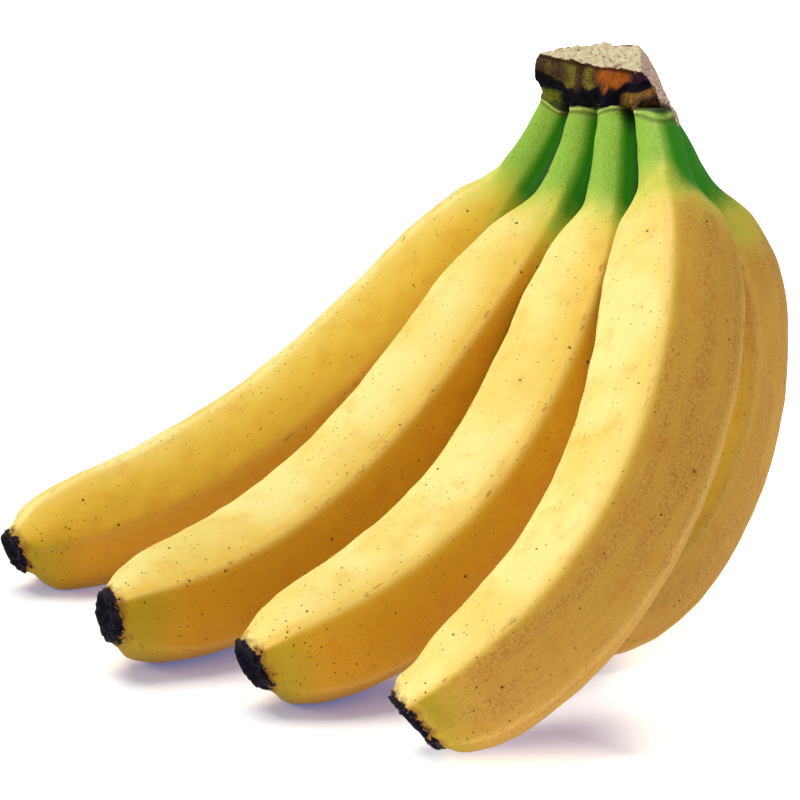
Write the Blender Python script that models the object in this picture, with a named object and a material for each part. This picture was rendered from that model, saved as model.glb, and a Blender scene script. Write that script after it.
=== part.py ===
"""A hand of five bananas, still joined at its cut crown and resting on its bellies.

Metres, +Z up. The origin is on the resting plane, under the middle of the hand.
Every banana follows a flat arc: a green stalk, a five-ridged body and a dry tip.
"""
import math

import bmesh
import bpy
import numpy as np
from mathutils import Vector

MM = 0.001

# Driving dimensions. Angles are in degrees.
GAP = 0.3 * MM
REST_CUT = 0.7 * MM
SIDES = 20
RIDGES = 5

# The plane where the stalks meet the crown: its height at the origin of y, and its slope.
CROWN_FOOT_HEIGHT = 149.5 * MM
CROWN_FOOT_SLOPE = -0.1
ROOT_ABOVE_FOOT = 4.0 * MM

# One entry for each banana, from the far left one round to the one behind on the right.
# root: where its axis starts inside the crown (x, y)
# heading: compass direction of the stalk, 0 towards the viewer and 90 to the right
# drop: how steeply the stalk falls; lean: how far the arc's plane is turned about the stalk
# bends: how sharply the arc turns, in degrees for a whole length, at the places BEND_AT
# taper: how much fuller the body is towards the stalk than at its middle
# ridge: where its first ridge runs, as an angle from the arc's inner side
# waist: how thin the stalk is at the crown, as a share of a full one
# end: half the width of the dry end, as a share of half the thickness
BEND_AT = (0.0, 0.14, 0.30, 0.62, 1.0)
BANANAS = (
    dict(root=(-14.0, 15.3), heading=-145.9, drop=59.9, lean=90.8, bends=(127, 110, 41, 98, 93),
         length=240, thick=37.6, taper=0.01, ridge=-50, waist=1.0, end=0.35),
    dict(root=(-6.5, 5.7), heading=-122.4, drop=81.1, lean=71.8, bends=(155, 145, 30, 86, 149),
         length=235, thick=39.2, taper=0.06, ridge=-40, waist=1.0, end=0.40),
    dict(root=(-0.2, -6.0), heading=17.2, drop=69.3, lean=-82.9, bends=(109, 100, 45, 90, 98),
         length=223, thick=40.8, taper=0.08, ridge=-66, waist=1.0, end=0.38),
    dict(root=(7.5, -15.8), heading=19.2, drop=41.2, lean=-111.9, bends=(111, 32, 60, 80, 152),
         length=227, thick=40.8, taper=0.07, ridge=-20, waist=0.86, end=0.47),
    dict(root=(10.1, -2.0), heading=120.5, drop=67.4, lean=-155.0, bends=(-20, -18, 215, 147, 105),
         length=220, thick=37.6, taper=0.36, ridge=-64, waist=0.66, end=0.36),
)

# Half thickness as a share of the thickest place: first by distance from the crown,
# then by distance back from the tip, and for the dry end as shares of the banana's own end.
STALK_SHARES = ((-4, 0.298), (0, 0.298), (6, 0.30), (20, 0.324), (34, 0.377), (52, 0.754),
                (75, 0.959), (110, 1.0))
TAPER_FROM = (20.0, 60.0)
WAIST_FADES = 26.0
TIP_SHARES = ((63, 1.0), (34, 0.956), (20, 0.88), (10, 0.71))
END_SHARES = ((5, 1.36), (2.5, 1.12), (1, 1.0), (0, 0.95))
# How much of a true pentagon the section takes: little in the stalk, most in the body.
RIDGE_SHARES = ((-4, 0.20), (20, 0.25), (52, 0.50), (110, 0.55))
TIP_RIDGE_SHARES = ((34, 0.55), (10, 0.45), (0, 0.35))
# Ring places along a banana: from the crown, then back from the tip, with even ones between.
STALK_RINGS = (-4, 0, 3, 8, 14, 20, 27, 34, 42, 51, 61, 73)
TIP_RINGS = (42, 34, 27, 20, 15, 10, 7, 4.5, 2, 0)
RING_STEP = 13.0
TIP_HOLLOW = (0.55, 1.2)

# The crown's block, going round from its left nose: each corner of the cut top (x, y), then the
# corner of the lower edge under it (x, y, z). The top rises with x and y from the nose.
CROWN_TOP_HEIGHT = 162.4
CROWN_TOP_RISE = (0.075, 0.05)
CROWN_CORNERS = (
    ((-22.2, 18.0), (-23.3, 18.0, 157.0)),
    ((-10.8, 0.0), (-12.2, 0.0, 152.2)),
    ((-2.6, -10.0), (-2.0, -13.5, 154.4)),
    ((5.7, -20.0), (9.4, -19.6, 158.6)),
    ((7.0, 0.0), (14.8, -1.0, 152.5)),
    ((8.2, 20.0), (13.2, 18.0, 156.5)),
    ((-3.5, 26.0), (-4.0, 26.0, 153.5)),
    ((-15.6, 24.0), (-17.0, 25.0, 155.0)),
)
CROWN_EDGE_POINTS = 4
CROWN_BULGE = 0.8 * MM
CROWN_UNDERCUT = 0.86
NECK_LIP = 0.3 * MM
NECK_REACH = 4.0 * MM
NECK_SPARE = 12.0 * MM
CUTTER_WIDTH = 100.0 * MM
CUTTER_DEPTH = 30.0 * MM

# The torn strip of skin, from the cut top down to its hanging tip: at each level its back edge,
# its front edge and its thickness.
STRIP_LEVELS = (
    ((9.5, 3.0, 158.5), (7.5, -13.0, 158.5), 3.0),
    ((14.9, -6.5, 152.6), (11.9, -11.6, 152.0), 2.5),
    ((17.6, -9.5, 148.8), (14.6, -12.2, 148.2), 1.2),
    ((18.6, -11.5, 145.5), (17.2, -12.8, 144.9), 0.9),
)

SKIN_YELLOW = (0.86, 0.56, 0.07)
CROWN_BROWN = (0.27, 0.17, 0.10)


def clear_scene():
    for item in list(bpy.data.objects):
        bpy.data.objects.remove(item, do_unlink=True)


def make_material(name, colour, roughness):
    """A plain finish in one colour."""
    material = bpy.data.materials.new(name)
    material.use_nodes = True
    shader = material.node_tree.nodes["Principled BSDF"]
    shader.inputs["Base Color"].default_value = (*colour, 1.0)
    shader.inputs["Roughness"].default_value = roughness
    shader.inputs["Metallic"].default_value = 0.0
    return material


def new_object(name, bm, collection, material=None):
    """Turn a bmesh into a named object."""
    mesh = bpy.data.meshes.new(name)
    bm.to_mesh(mesh)
    bm.free()
    item = bpy.data.objects.new(name, mesh)
    collection.objects.link(item)
    if material:
        mesh.materials.append(material)
    return item


def smooth_profile(pairs, at):
    """A smooth curve through (place, value) pairs that never swings past them."""
    x = np.array([pair[0] for pair in pairs], float)
    y = np.array([pair[1] for pair in pairs], float)
    step = np.diff(x)
    slope = np.diff(y) / step
    same_way = slope[1:] * slope[:-1] > 0
    safe = np.where(same_way, slope[1:] * slope[:-1], 1.0)
    middle = np.where(same_way, 2.0 * safe / np.where(same_way, slope[1:] + slope[:-1], 1.0), 0.0)
    lean = np.concatenate(([slope[0]], middle, [slope[-1]]))
    at = np.clip(at, x[0], x[-1])
    k = np.clip(np.searchsorted(x, at) - 1, 0, len(step) - 1)
    t = (at - x[k]) / step[k]
    return ((1 + 2 * t) * (1 - t) ** 2 * y[k] + t * (1 - t) ** 2 * step[k] * lean[k]
            + t * t * (3 - 2 * t) * y[k + 1] + t * t * (t - 1) * step[k] * lean[k + 1])


def running_total(rate, places):
    """The integral of a rate up to each place."""
    steps = 0.5 * (rate[1:] + rate[:-1]).T * np.diff(places)
    return np.concatenate((np.zeros((1,) + rate.shape[1:]), np.cumsum(steps, axis=-1).T))


def foot_height(y):
    """Height of the plane where the stalks meet the crown."""
    return CROWN_FOOT_HEIGHT + CROWN_FOOT_SLOPE * y


def arc_axes(banana):
    """Root, first direction, and the direction the arc turns towards."""
    heading, drop, lean = (math.radians(banana[key]) for key in ("heading", "drop", "lean"))
    x, y = (MM * value for value in banana["root"])
    root = np.array((x, y, foot_height(y) + ROOT_ABOVE_FOOT))
    first = np.array((math.cos(drop) * math.sin(heading), -math.cos(drop) * math.cos(heading),
                      -math.sin(drop)))
    side = np.array((math.cos(heading), math.sin(heading), 0.0))
    above = np.cross(first, side)
    return root, first, math.cos(lean) * above + math.sin(lean) * side


def follow_arc(banana, places):
    """Points of the axis, its direction and its inner side, at distances from the crown."""
    root, first, inward = arc_axes(banana)
    length = banana["length"] * MM
    fine = np.linspace(0.0, 1.0, 241)
    turned = running_total(np.radians(np.interp(fine, BEND_AT, banana["bends"])), fine)
    ways = np.outer(np.cos(turned), first) + np.outer(np.sin(turned), inward)
    walked = length * running_total(ways, fine)
    share = np.clip(places / length, 0.0, 1.0)
    points = np.stack([np.interp(share, fine, walked[:, axis]) for axis in range(3)], axis=1)
    points += root + np.outer(np.minimum(places, 0.0), first)
    angle = np.interp(share, fine, turned)
    direction = np.outer(np.cos(angle), first) + np.outer(np.sin(angle), inward)
    inner = np.outer(-np.sin(angle), first) + np.outer(np.cos(angle), inward)
    return points, direction, inner


def ring_places(length):
    """Distances along a banana that carry a ring of points, in mm."""
    last = length - TIP_RINGS[0]
    count = int(round((last - STALK_RINGS[-1]) / RING_STEP))
    between = np.linspace(STALK_RINGS[-1], last, count + 1)[1:-1]
    return np.concatenate((STALK_RINGS, between, [length - back for back in TIP_RINGS]))


def along(stalk_pairs, tip_pairs, length, places):
    """A value set by distance from the crown at one end and from the tip at the other."""
    pairs = list(stalk_pairs) + [(length - back, value) for back, value in tip_pairs]
    return smooth_profile(pairs, places)


def waist_share(banana, places):
    """How far the stalk is drawn in near the crown."""
    pairs = ((-4, banana["waist"]), (4, banana["waist"]), (WAIST_FADES, 1.0), (WAIST_FADES + 9, 1.0))
    return smooth_profile(pairs, places)


def half_thickness(banana, places):
    """Half the thickness along a banana, in mm."""
    length = banana["length"]
    end = [(back, share * banana["end"]) for back, share in END_SHARES]
    half = 0.5 * banana["thick"] * along(STALK_SHARES, TIP_SHARES + tuple(end), length, places)
    fuller = np.clip(1.0 - 2.0 * places / length, -1.0, 1.0)
    fuller *= np.interp(places, TAPER_FROM, (0.0, 1.0))
    return half * (1.0 + banana["taper"] * fuller) * waist_share(banana, places)


def section(angles, ridge, pentagon):
    """Radius round a section, as a share: a circle leaning towards a five-sided shape."""
    turn = 2 * math.pi / RIDGES
    from_ridge = np.abs((angles - ridge + turn / 2) % turn - turn / 2)
    flat = math.cos(turn / 2) / np.cos(turn / 2 - from_ridge)
    shape = 1.0 - pentagon + pentagon * flat
    return shape * (1.0 + 0.115 * pentagon)


def cut_away(bm, point, outward):
    """Cut off what lies beyond a plane and close the cut with one flat face."""
    geometry = bm.verts[:] + bm.edges[:] + bm.faces[:]
    cut = bmesh.ops.bisect_plane(bm, geom=geometry, dist=1e-7, plane_co=point, plane_no=outward,
                                 clear_outer=True)
    rim = [item for item in cut["geom_cut"] if isinstance(item, bmesh.types.BMEdge)]
    if rim:
        bmesh.ops.contextual_create(bm, geom=rim)


def bridge_rings(bm, rings):
    """Skin between neighbouring rings of edges, and a flat cap on both ends."""
    for ring, following in zip(rings, rings[1:]):
        bmesh.ops.bridge_loops(bm, edges=ring + following)
    for ring in (rings[0], rings[-1]):
        bmesh.ops.contextual_create(bm, geom=ring)
    bmesh.ops.recalc_face_normals(bm, faces=bm.faces[:])


def ring_of_points(bm, points):
    """A closed ring of edges through the points."""
    made = bmesh.ops.create_circle(bm, segments=len(points), radius=1.0)["verts"]
    for vertex, point in zip(made, points):
        vertex.co = point
    return list({edge for vertex in made for edge in vertex.link_edges})


def build_banana(number, banana, collection, material):
    """One banana: a loft of sections from the round stalk through the ridged body to the tip."""
    length = banana["length"]
    places = ring_places(length)
    points, direction, inner = follow_arc(banana, places * MM)
    radius = half_thickness(banana, places) * MM
    pentagon = along(RIDGE_SHARES, TIP_RIDGE_SHARES, length, places)
    ridge = math.radians(banana["ridge"])
    around = np.arange(SIDES) * 2 * math.pi / SIDES + ridge
    sections = []
    for point, way, towards, r, share in zip(points, direction, inner, radius, pentagon):
        reach = r * section(around, ridge, share)
        across = np.cross(way, towards)
        offset = np.outer(reach * np.cos(around), towards)
        offset += np.outer(reach * np.sin(around), across)
        sections.append(point + offset)
    hollow_width, hollow_depth = TIP_HOLLOW
    dent = points[-1] - hollow_depth * MM * direction[-1]
    sections.append(dent + hollow_width * offset)
    sections = np.array(sections)
    sections[:, :, 2] -= sections[:, :, 2].min() + REST_CUT
    bm = bmesh.new()
    rings = [ring_of_points(bm, ring) for ring in sections]
    bridge_rings(bm, rings)
    foot = Vector((0.0, 0.0, CROWN_FOOT_HEIGHT - GAP))
    cut_away(bm, foot, Vector((0.0, -CROWN_FOOT_SLOPE, 1.0)))
    cut_away(bm, Vector((0.0, 0.0, 0.0)), Vector((0.0, 0.0, -1.0)))
    return new_object(f"banana_{number}", bm, collection, material)


def crown_ring(levels):
    """Points round the crown, a few to each side, from its corners."""
    corners = np.array(levels)
    following = np.roll(corners, -1, axis=0)
    shares = np.arange(CROWN_EDGE_POINTS) / CROWN_EDGE_POINTS
    sides = [start + np.outer(shares, end - start) for start, end in zip(corners, following)]
    return np.concatenate(sides)


def build_crown_block():
    """The cut block of the crown, as a loft from its sloping top to its drawn-in foot."""
    nose = np.array(CROWN_CORNERS[0][0])
    top = []
    low = []
    for upper, lower in CROWN_CORNERS:
        height = CROWN_TOP_HEIGHT + float(np.dot(CROWN_TOP_RISE, upper - nose))
        top.append((*upper, height))
        low.append(lower)
    top = MM * crown_ring(top)
    low = MM * crown_ring(low)
    centre = low.mean(axis=0)
    outward = low - centre
    outward[:, 2] = 0.0
    outward /= np.linalg.norm(outward, axis=1)[:, None]
    middle = 0.5 * (top + low) + CROWN_BULGE * outward
    foot = centre + CROWN_UNDERCUT * (low - centre)
    foot[:, 2] = foot_height(foot[:, 1]) + 0.6 * MM
    bm = bmesh.new()
    bridge_rings(bm, [ring_of_points(bm, level) for level in (top, middle, low, foot)])
    return bm


def build_neck(banana):
    """The short swelling of the crown above a stalk, a cone along the stalk's axis."""
    root, first, _ = arc_axes(banana)
    width = 0.5 * banana["thick"] * MM * STALK_SHARES[1][1] * banana["waist"] + NECK_LIP
    bm = bmesh.new()
    made = bmesh.ops.create_cone(bm, cap_ends=True, segments=SIDES, radius1=0.85 * width,
                                 radius2=1.03 * width, depth=NECK_REACH + NECK_SPARE)["verts"]
    turn = Vector((0.0, 0.0, 1.0)).rotation_difference(Vector(first)).to_matrix()
    middle = Vector(root) + Vector(first) * 0.5 * (NECK_SPARE - NECK_REACH)
    for vertex in made:
        vertex.co = turn @ vertex.co + middle
    return bm


def build_foot_cutter():
    """A block under the crown's foot plane, to cut all the necks off level with each other."""
    bm = bmesh.new()
    made = bmesh.ops.create_cube(bm, size=1.0)["verts"]
    for vertex in made:
        x, y, z = vertex.co
        y *= CUTTER_WIDTH
        foot = foot_height(y)
        vertex.co = Vector((x * CUTTER_WIDTH, y, foot if z > 0.0 else foot - CUTTER_DEPTH))
    return bm


def build_strip():
    """The torn strip of skin on the crown's right side, as a loft of thin cross-sections."""
    bm = bmesh.new()
    rings = []
    for back, front, thick in STRIP_LEVELS:
        back, front = (MM * Vector(corner) for corner in (back, front))
        inward = Vector((front.y - back.y, back.x - front.x, 0.0)).normalized() * thick * MM
        rings.append(ring_of_points(bm, (back, front, front + inward, back + inward)))
    bridge_rings(bm, rings)
    return bm


def combine(first, operation, other):
    """Fuse another object with the first one, or cut it away."""
    modifier = first.modifiers.new(other.name, "BOOLEAN")
    modifier.operation = operation
    modifier.solver = "EXACT"
    modifier.object = other
    other.hide_render = True
    other.display_type = "WIRE"


def build_crown(collection, tools, material):
    """The crown: its block, a neck over each stalk and the torn strip, fused in one piece."""
    crown = new_object("crown", build_crown_block(), collection, material)
    for number, banana in enumerate(BANANAS, 1):
        combine(crown, "UNION", new_object(f"neck_{number}", build_neck(banana), tools))
    combine(crown, "DIFFERENCE", new_object("foot_cutter", build_foot_cutter(), tools))
    combine(crown, "UNION", new_object("torn_strip", build_strip(), tools))
    return crown


def set_origin_under_middle(items):
    """Shift everything so that the origin lies under the middle of the hand's box."""
    bpy.context.view_layer.update()
    graph = bpy.context.evaluated_depsgraph_get()
    corners = []
    for item in items:
        mesh = item.evaluated_get(graph).to_mesh()
        corners.extend(vertex.co.copy() for vertex in mesh.vertices)
    low = Vector([min(corner[axis] for corner in corners) for axis in range(3)])
    high = Vector([max(corner[axis] for corner in corners) for axis in range(3)])
    middle = 0.5 * (low + high)
    for item in bpy.data.objects:
        item.location = (-middle.x, -middle.y, -low.z)


def main():
    clear_scene()
    hand = bpy.data.collections.new("banana_hand")
    tools = bpy.data.collections.new("banana_hand_tools")
    for collection in (hand, tools):
        bpy.context.scene.collection.children.link(collection)
    skin = make_material("banana_skin", SKIN_YELLOW, 0.42)
    rind = make_material("crown_rind", CROWN_BROWN, 0.75)
    items = [build_banana(number, banana, hand, skin)
             for number, banana in enumerate(BANANAS, 1)]
    items.append(build_crown(hand, tools, rind))
    set_origin_under_middle(items)
    for item in items:
        item.data.shade_smooth()
        item.data.set_sharp_from_angle(angle=math.radians(35))


main()
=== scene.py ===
"""The looks of a hand of five bananas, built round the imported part.

The finer pieces follow the same arcs, sections and corners as the part's own solids, so each one
lies where its solid lies. Lengths are in millimetres until a mesh is made.
"""

import math
from types import SimpleNamespace

import bmesh
import bpy
import numpy as np
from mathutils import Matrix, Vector


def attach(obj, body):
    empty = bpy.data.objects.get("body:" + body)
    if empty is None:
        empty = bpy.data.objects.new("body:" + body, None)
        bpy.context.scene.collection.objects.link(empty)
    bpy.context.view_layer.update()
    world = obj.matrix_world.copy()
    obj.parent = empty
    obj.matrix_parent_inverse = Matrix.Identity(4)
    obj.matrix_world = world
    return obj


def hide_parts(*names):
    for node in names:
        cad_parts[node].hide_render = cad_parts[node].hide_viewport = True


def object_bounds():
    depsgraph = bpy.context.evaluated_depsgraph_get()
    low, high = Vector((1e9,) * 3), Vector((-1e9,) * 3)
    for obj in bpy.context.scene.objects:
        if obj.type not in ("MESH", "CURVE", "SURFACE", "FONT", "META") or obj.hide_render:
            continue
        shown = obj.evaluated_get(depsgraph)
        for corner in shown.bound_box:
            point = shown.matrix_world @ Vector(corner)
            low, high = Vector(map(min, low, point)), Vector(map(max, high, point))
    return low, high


MM = 0.001

# The hand, as in the part's source. Plan coordinates start near the crown's middle, and the row's
# own origin is under the middle of the hand's box, at HAND_MIDDLE in that plan.
HAND_MIDDLE = (-65.99, -53.56)
REST_CUT = 0.7
RIDGES = 5
CROWN_FOOT_HEIGHT = 149.5
CROWN_FOOT_SLOPE = -0.1
ROOT_ABOVE_FOOT = 4.0
BEND_AT = (0.0, 0.14, 0.30, 0.62, 1.0)
BANANAS = (
    dict(root=(-14.0, 15.3), heading=-145.9, drop=59.9, lean=90.8, bends=(127, 110, 41, 98, 93),
         length=240, thick=37.6, taper=0.01, ridge=-50, waist=1.0, end=0.35),
    dict(root=(-6.5, 5.7), heading=-122.4, drop=81.1, lean=71.8, bends=(155, 145, 30, 86, 149),
         length=235, thick=39.2, taper=0.06, ridge=-40, waist=1.0, end=0.40),
    dict(root=(-0.2, -6.0), heading=17.2, drop=69.3, lean=-82.9, bends=(109, 100, 45, 90, 98),
         length=223, thick=40.8, taper=0.08, ridge=-66, waist=1.0, end=0.38),
    dict(root=(7.5, -15.8), heading=19.2, drop=41.2, lean=-111.9, bends=(111, 32, 60, 80, 152),
         length=227, thick=40.8, taper=0.07, ridge=-20, waist=0.86, end=0.47),
    dict(root=(10.1, -2.0), heading=120.5, drop=67.4, lean=-155.0, bends=(-20, -18, 215, 147, 105),
         length=220, thick=37.6, taper=0.36, ridge=-64, waist=0.66, end=0.36),
)
STALK_SHARES = ((-4, 0.298), (0, 0.298), (6, 0.30), (20, 0.324), (34, 0.377), (52, 0.754),
                (75, 0.959), (110, 1.0))
TAPER_FROM = (20.0, 60.0)
WAIST_FADES = 26.0
TIP_SHARES = ((63, 1.0), (34, 0.956), (20, 0.88), (10, 0.71))
END_SHARES = ((5, 1.36), (2.5, 1.12), (1, 1.0), (0, 0.95))
RIDGE_SHARES = ((-4, 0.20), (20, 0.25), (52, 0.50), (110, 0.55))
TIP_RIDGE_SHARES = ((34, 0.55), (10, 0.45), (0, 0.35))

CROWN_TOP_HEIGHT = 162.4
CROWN_TOP_RISE = (0.075, 0.05)
CROWN_CORNERS = (
    ((-22.2, 18.0), (-23.3, 18.0, 157.0)),
    ((-10.8, 0.0), (-12.2, 0.0, 152.2)),
    ((-2.6, -10.0), (-2.0, -13.5, 154.4)),
    ((5.7, -20.0), (9.4, -19.6, 158.6)),
    ((7.0, 0.0), (14.8, -1.0, 152.5)),
    ((8.2, 20.0), (13.2, 18.0, 156.5)),
    ((-3.5, 26.0), (-4.0, 26.0, 153.5)),
    ((-15.6, 24.0), (-17.0, 25.0, 155.0)),
)
CROWN_UNDERCUT = 0.86
# The front edge of the torn skin that covers the crown's right side: its x at each height, in mm.
STRIP_FRONT = ((144.9, 17.2), (148.2, 14.6), (152.0, 11.9), (158.6, 9.4), (162.7, 5.9))
# The olive patches on the crown's front: x, half width and strength of each.
OLIVE_PATCHES = ((-20.0, 1.6, 0.6), (-14.5, 1.5, 0.9), (-7.8, 1.5, 1.0))
NECK_REACH = 4.0
STRIP_LEVELS = (
    ((9.5, 3.0, 158.5), (7.5, -13.0, 158.5), 3.0),
    ((14.9, -6.5, 152.6), (11.9, -11.6, 152.0), 2.5),
    ((17.6, -9.5, 148.8), (14.6, -12.2, 148.2), 1.2),
    ((18.6, -11.5, 145.5), (17.2, -12.8, 144.9), 0.9),
)

# How fine the new meshes are: points round a banana, and steps along it at both ends and between.
AROUND = 144
END_STEP = 0.38
BODY_STEP = 0.85
STALK_FINE = 12.0
TIP_FINE = 15.0
RIDGE_SOFTNESS = 0.05
CROWN_VOXEL = 0.42

# Painted shade, a deeper colour, goes on the side of each banana that faces this way: right, front and
# down. The side turned away gets painted light, a paler cream.
PAINTED_SHADE_SIDE = (0.66, -0.50, -0.56)
# How much brown mottling each banana's shaded side carries, and how brown its painted shade is.
WORN = (0.20, 0.30, 0.30, 1.0, 0.9)
# How much shorter, in mm, each dry end is than the usual one.
DRY_END_SHORTER = (0.2, -0.4, 0.0, 0.0, 0.0)
# How far each stalk leans to the right, in mm, and how much plumper it is, so that the stalks touch.
STALK_LEAN = (0.0, 0.6, -0.5, -0.2, 0.0)
STALK_PLUMPER = (0.0, 0.08, 0.12, 0.03, 0.0)
# How much further each banana's painted shade spreads towards the viewer.
PAINTED_SHADE_SPREADS = (0.0, 0.0, 0.0, 0.28, 0.10)
# How near a neighbour has to be for the painted near-black shade in the narrow gap between the two, in
# mm.
GAP_REACH = (5.0, 1.8)
# The same on the side of a stalk that is turned away from the light.
LEE_GAP_REACH = (24.0, 8.0)
# How far each dry end leans away from the viewer, in mm of slant for each mm of its radius.
END_SLANT = (0.14, 0.34, 0.05, 0.05, 0.0)
# How far back from the tip that slant begins, in mm.
END_SLANT_FROM = 13.0
# How far askew each dry end is across the view, its lower side shorter, and what only shortens it.
END_TURN = (0.25, 0.18, 0.30, 0.36, 0.0)
END_TURN_BACK = 0.6
# The hollow of a dry end: rings by their share of its radius, and how deep each lies, in mm.
HOLLOW = ((0.94, -0.25), (0.86, -0.1), (0.76, 0.35), (0.64, 0.9), (0.52, 1.2), (0.40, 1.35),
          (0.28, 1.3), (0.17, 1.4), (0.07, 1.5))
# How much nearer the tip the hollow counts, in mm, so that it is black all over.
HOLLOW_DEEPER = 7.0
# The raised lines round a collar: distance from the crown and width in mm, and strength.
COLLAR_LINES = ((5.2, 0.38, 1.0), (6.8, 0.32, 0.18))
COLLAR_HEIGHT = 0.32
CRUST_HEIGHT = 0.45
# Uneven places of the peel: height and size in mm, and the seed of the random field.
PEEL_WAVES = (0.09, 16.0, 11)
PEEL_BUMPS = (0.07, 5.0, 12)
COLLAR_WAVES = (0.40, 6.0, 19)
# How far apart the bananas lie in the material's own space, in mm, so that no two are alike.
APART_IN_PATTERN = 300.0
# A small dark scar in the crown's cut top: its place and how wide it is.
SCAR = (-1.2, -7.5)
SCAR_WIDTH = 1.3
# The banana that leaves the crown at a slant, so that its collar follows the crown's underside.
SLANTED = 4
COLLAR_BELOW_CROWN = 4.3
# How near a neighbour has to be for its painted shade to show, on the stalk and on the body.
SHADE_REACH = (5.0, 16.0)
# How far inside the solid part's box the finer pieces stay, in metres.
BOX_MARGIN = 0.00005

# The camera of the photograph, in the plan's millimetres: where it is and what it looks at.
CAMERA_PLACE = (-63.9, -962.6, 306.7)
CAMERA_TARGET = (-63.9, -81.2, 80.4)
FOCAL_PIXELS = 3285
FRAME_PIXELS = 800
SENSOR_WIDTH = 36.0

# The floor: half its width, and where painted light on its paper washes out the hand's shadow, all in
# metres.
FLOOR_HALF = 4.0
PAINTED_LIGHT_TO_RIGHT = (0.042, 0.078)
PAINTED_LIGHT_TO_FRONT = (-0.068, -0.106)


def to_row(points):
    """Plan millimetres to the row's own metres."""
    return (np.asarray(points, float) - (*HAND_MIDDLE, 0.0)) * MM


def smooth_profile(pairs, at):
    """A smooth curve through (place, value) pairs that never swings past them."""
    x = np.array([pair[0] for pair in pairs], float)
    y = np.array([pair[1] for pair in pairs], float)
    step = np.diff(x)
    slope = np.diff(y) / step
    same_way = slope[1:] * slope[:-1] > 0
    safe = np.where(same_way, slope[1:] * slope[:-1], 1.0)
    middle = np.where(same_way, 2.0 * safe / np.where(same_way, slope[1:] + slope[:-1], 1.0), 0.0)
    lean = np.concatenate(([slope[0]], middle, [slope[-1]]))
    at = np.clip(at, x[0], x[-1])
    k = np.clip(np.searchsorted(x, at) - 1, 0, len(step) - 1)
    t = (at - x[k]) / step[k]
    return ((1 + 2 * t) * (1 - t) ** 2 * y[k] + t * (1 - t) ** 2 * step[k] * lean[k]
            + t * t * (3 - 2 * t) * y[k + 1] + t * t * (t - 1) * step[k] * lean[k + 1])


def fade(value, start, end):
    """0 before start and 1 after end, with a smooth change between."""
    t = np.clip((np.asarray(value, float) - start) / (end - start), 0.0, 1.0)
    return t * t * (3 - 2 * t)


def running_total(rate, places):
    """The integral of a rate up to each place."""
    steps = 0.5 * (rate[1:] + rate[:-1]).T * np.diff(places)
    return np.concatenate((np.zeros((1,) + rate.shape[1:]), np.cumsum(steps, axis=-1).T))


def lumps(points, size, seed, waves=28):
    """A smooth random field with bumps of about that size, in mm, and a spread of about 1."""
    draw = np.random.default_rng(seed)
    ways = draw.normal(size=(waves, 3))
    ways /= np.linalg.norm(ways, axis=1)[:, None]
    rates = 2 * math.pi / (size * draw.uniform(1.4, 3.0, waves))
    starts = draw.uniform(0, 2 * math.pi, waves)
    return np.sin(points @ (ways * rates[:, None]).T + starts).sum(axis=-1) * math.sqrt(2 / waves)


def bumps(points, height, size, seed):
    """The same field at a given height, in mm."""
    return height * lumps(points, size, seed)


def foot_height(y):
    """Height of the plane where the stalks meet the crown."""
    return CROWN_FOOT_HEIGHT + CROWN_FOOT_SLOPE * y


def arc_axes(banana):
    """Root, first direction, and the direction the arc turns towards."""
    heading, drop, lean = (math.radians(banana[key]) for key in ("heading", "drop", "lean"))
    x, y = banana["root"]
    root = np.array((x, y, foot_height(y) + ROOT_ABOVE_FOOT))
    first = np.array((math.cos(drop) * math.sin(heading), -math.cos(drop) * math.cos(heading),
                      -math.sin(drop)))
    side = np.array((math.cos(heading), math.sin(heading), 0.0))
    above = np.cross(first, side)
    return root, first, math.cos(lean) * above + math.sin(lean) * side


def follow_arc(banana, places):
    """Points of the axis, its direction and its inner side, at distances from the crown."""
    root, first, inward = arc_axes(banana)
    length = banana["length"]
    fine = np.linspace(0.0, 1.0, 241)
    turned = running_total(np.radians(np.interp(fine, BEND_AT, banana["bends"])), fine)
    ways = np.outer(np.cos(turned), first) + np.outer(np.sin(turned), inward)
    walked = length * running_total(ways, fine)
    share = np.clip(places / length, 0.0, 1.0)
    points = np.stack([np.interp(share, fine, walked[:, axis]) for axis in range(3)], axis=1)
    points += root + np.outer(np.minimum(places, 0.0), first)
    angle = np.interp(share, fine, turned)
    direction = np.outer(np.cos(angle), first) + np.outer(np.sin(angle), inward)
    inner = np.outer(-np.sin(angle), first) + np.outer(np.cos(angle), inward)
    return points, direction, inner


def along(stalk_pairs, tip_pairs, length, places):
    """A value set by distance from the crown at one end and from the tip at the other."""
    pairs = list(stalk_pairs) + [(length - back, value) for back, value in tip_pairs]
    return smooth_profile(pairs, places)


def waist_share(banana, places):
    """How far the stalk is drawn in near the crown."""
    pairs = ((-4, banana["waist"]), (4, banana["waist"]), (WAIST_FADES, 1.0), (WAIST_FADES + 9, 1.0))
    return smooth_profile(pairs, places)


def half_thickness(banana, places):
    """Half the thickness along a banana."""
    length = banana["length"]
    end = [(back, share * banana["end"]) for back, share in END_SHARES]
    half = 0.5 * banana["thick"] * along(STALK_SHARES, TIP_SHARES + tuple(end), length, places)
    fuller = np.clip(1.0 - 2.0 * places / length, -1.0, 1.0)
    fuller *= np.interp(places, TAPER_FROM, (0.0, 1.0))
    return half * (1.0 + banana["taper"] * fuller) * waist_share(banana, places)


def from_nearest_ridge(angles, ridge):
    turn = 2 * math.pi / RIDGES
    return np.abs((angles - ridge + turn / 2) % turn - turn / 2)


def section(angles, ridge, pentagon):
    """Radius round a section, as a share: a circle leaning towards a five-sided shape."""
    half = math.pi / RIDGES
    away = from_nearest_ridge(angles, ridge)
    away = np.hypot(away, RIDGE_SOFTNESS) * half / math.hypot(half, RIDGE_SOFTNESS)
    flat = math.cos(half) / np.cos(half - away)
    shape = 1.0 - pentagon + pentagon * flat
    return shape * (1.0 + 0.115 * pentagon)


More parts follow.
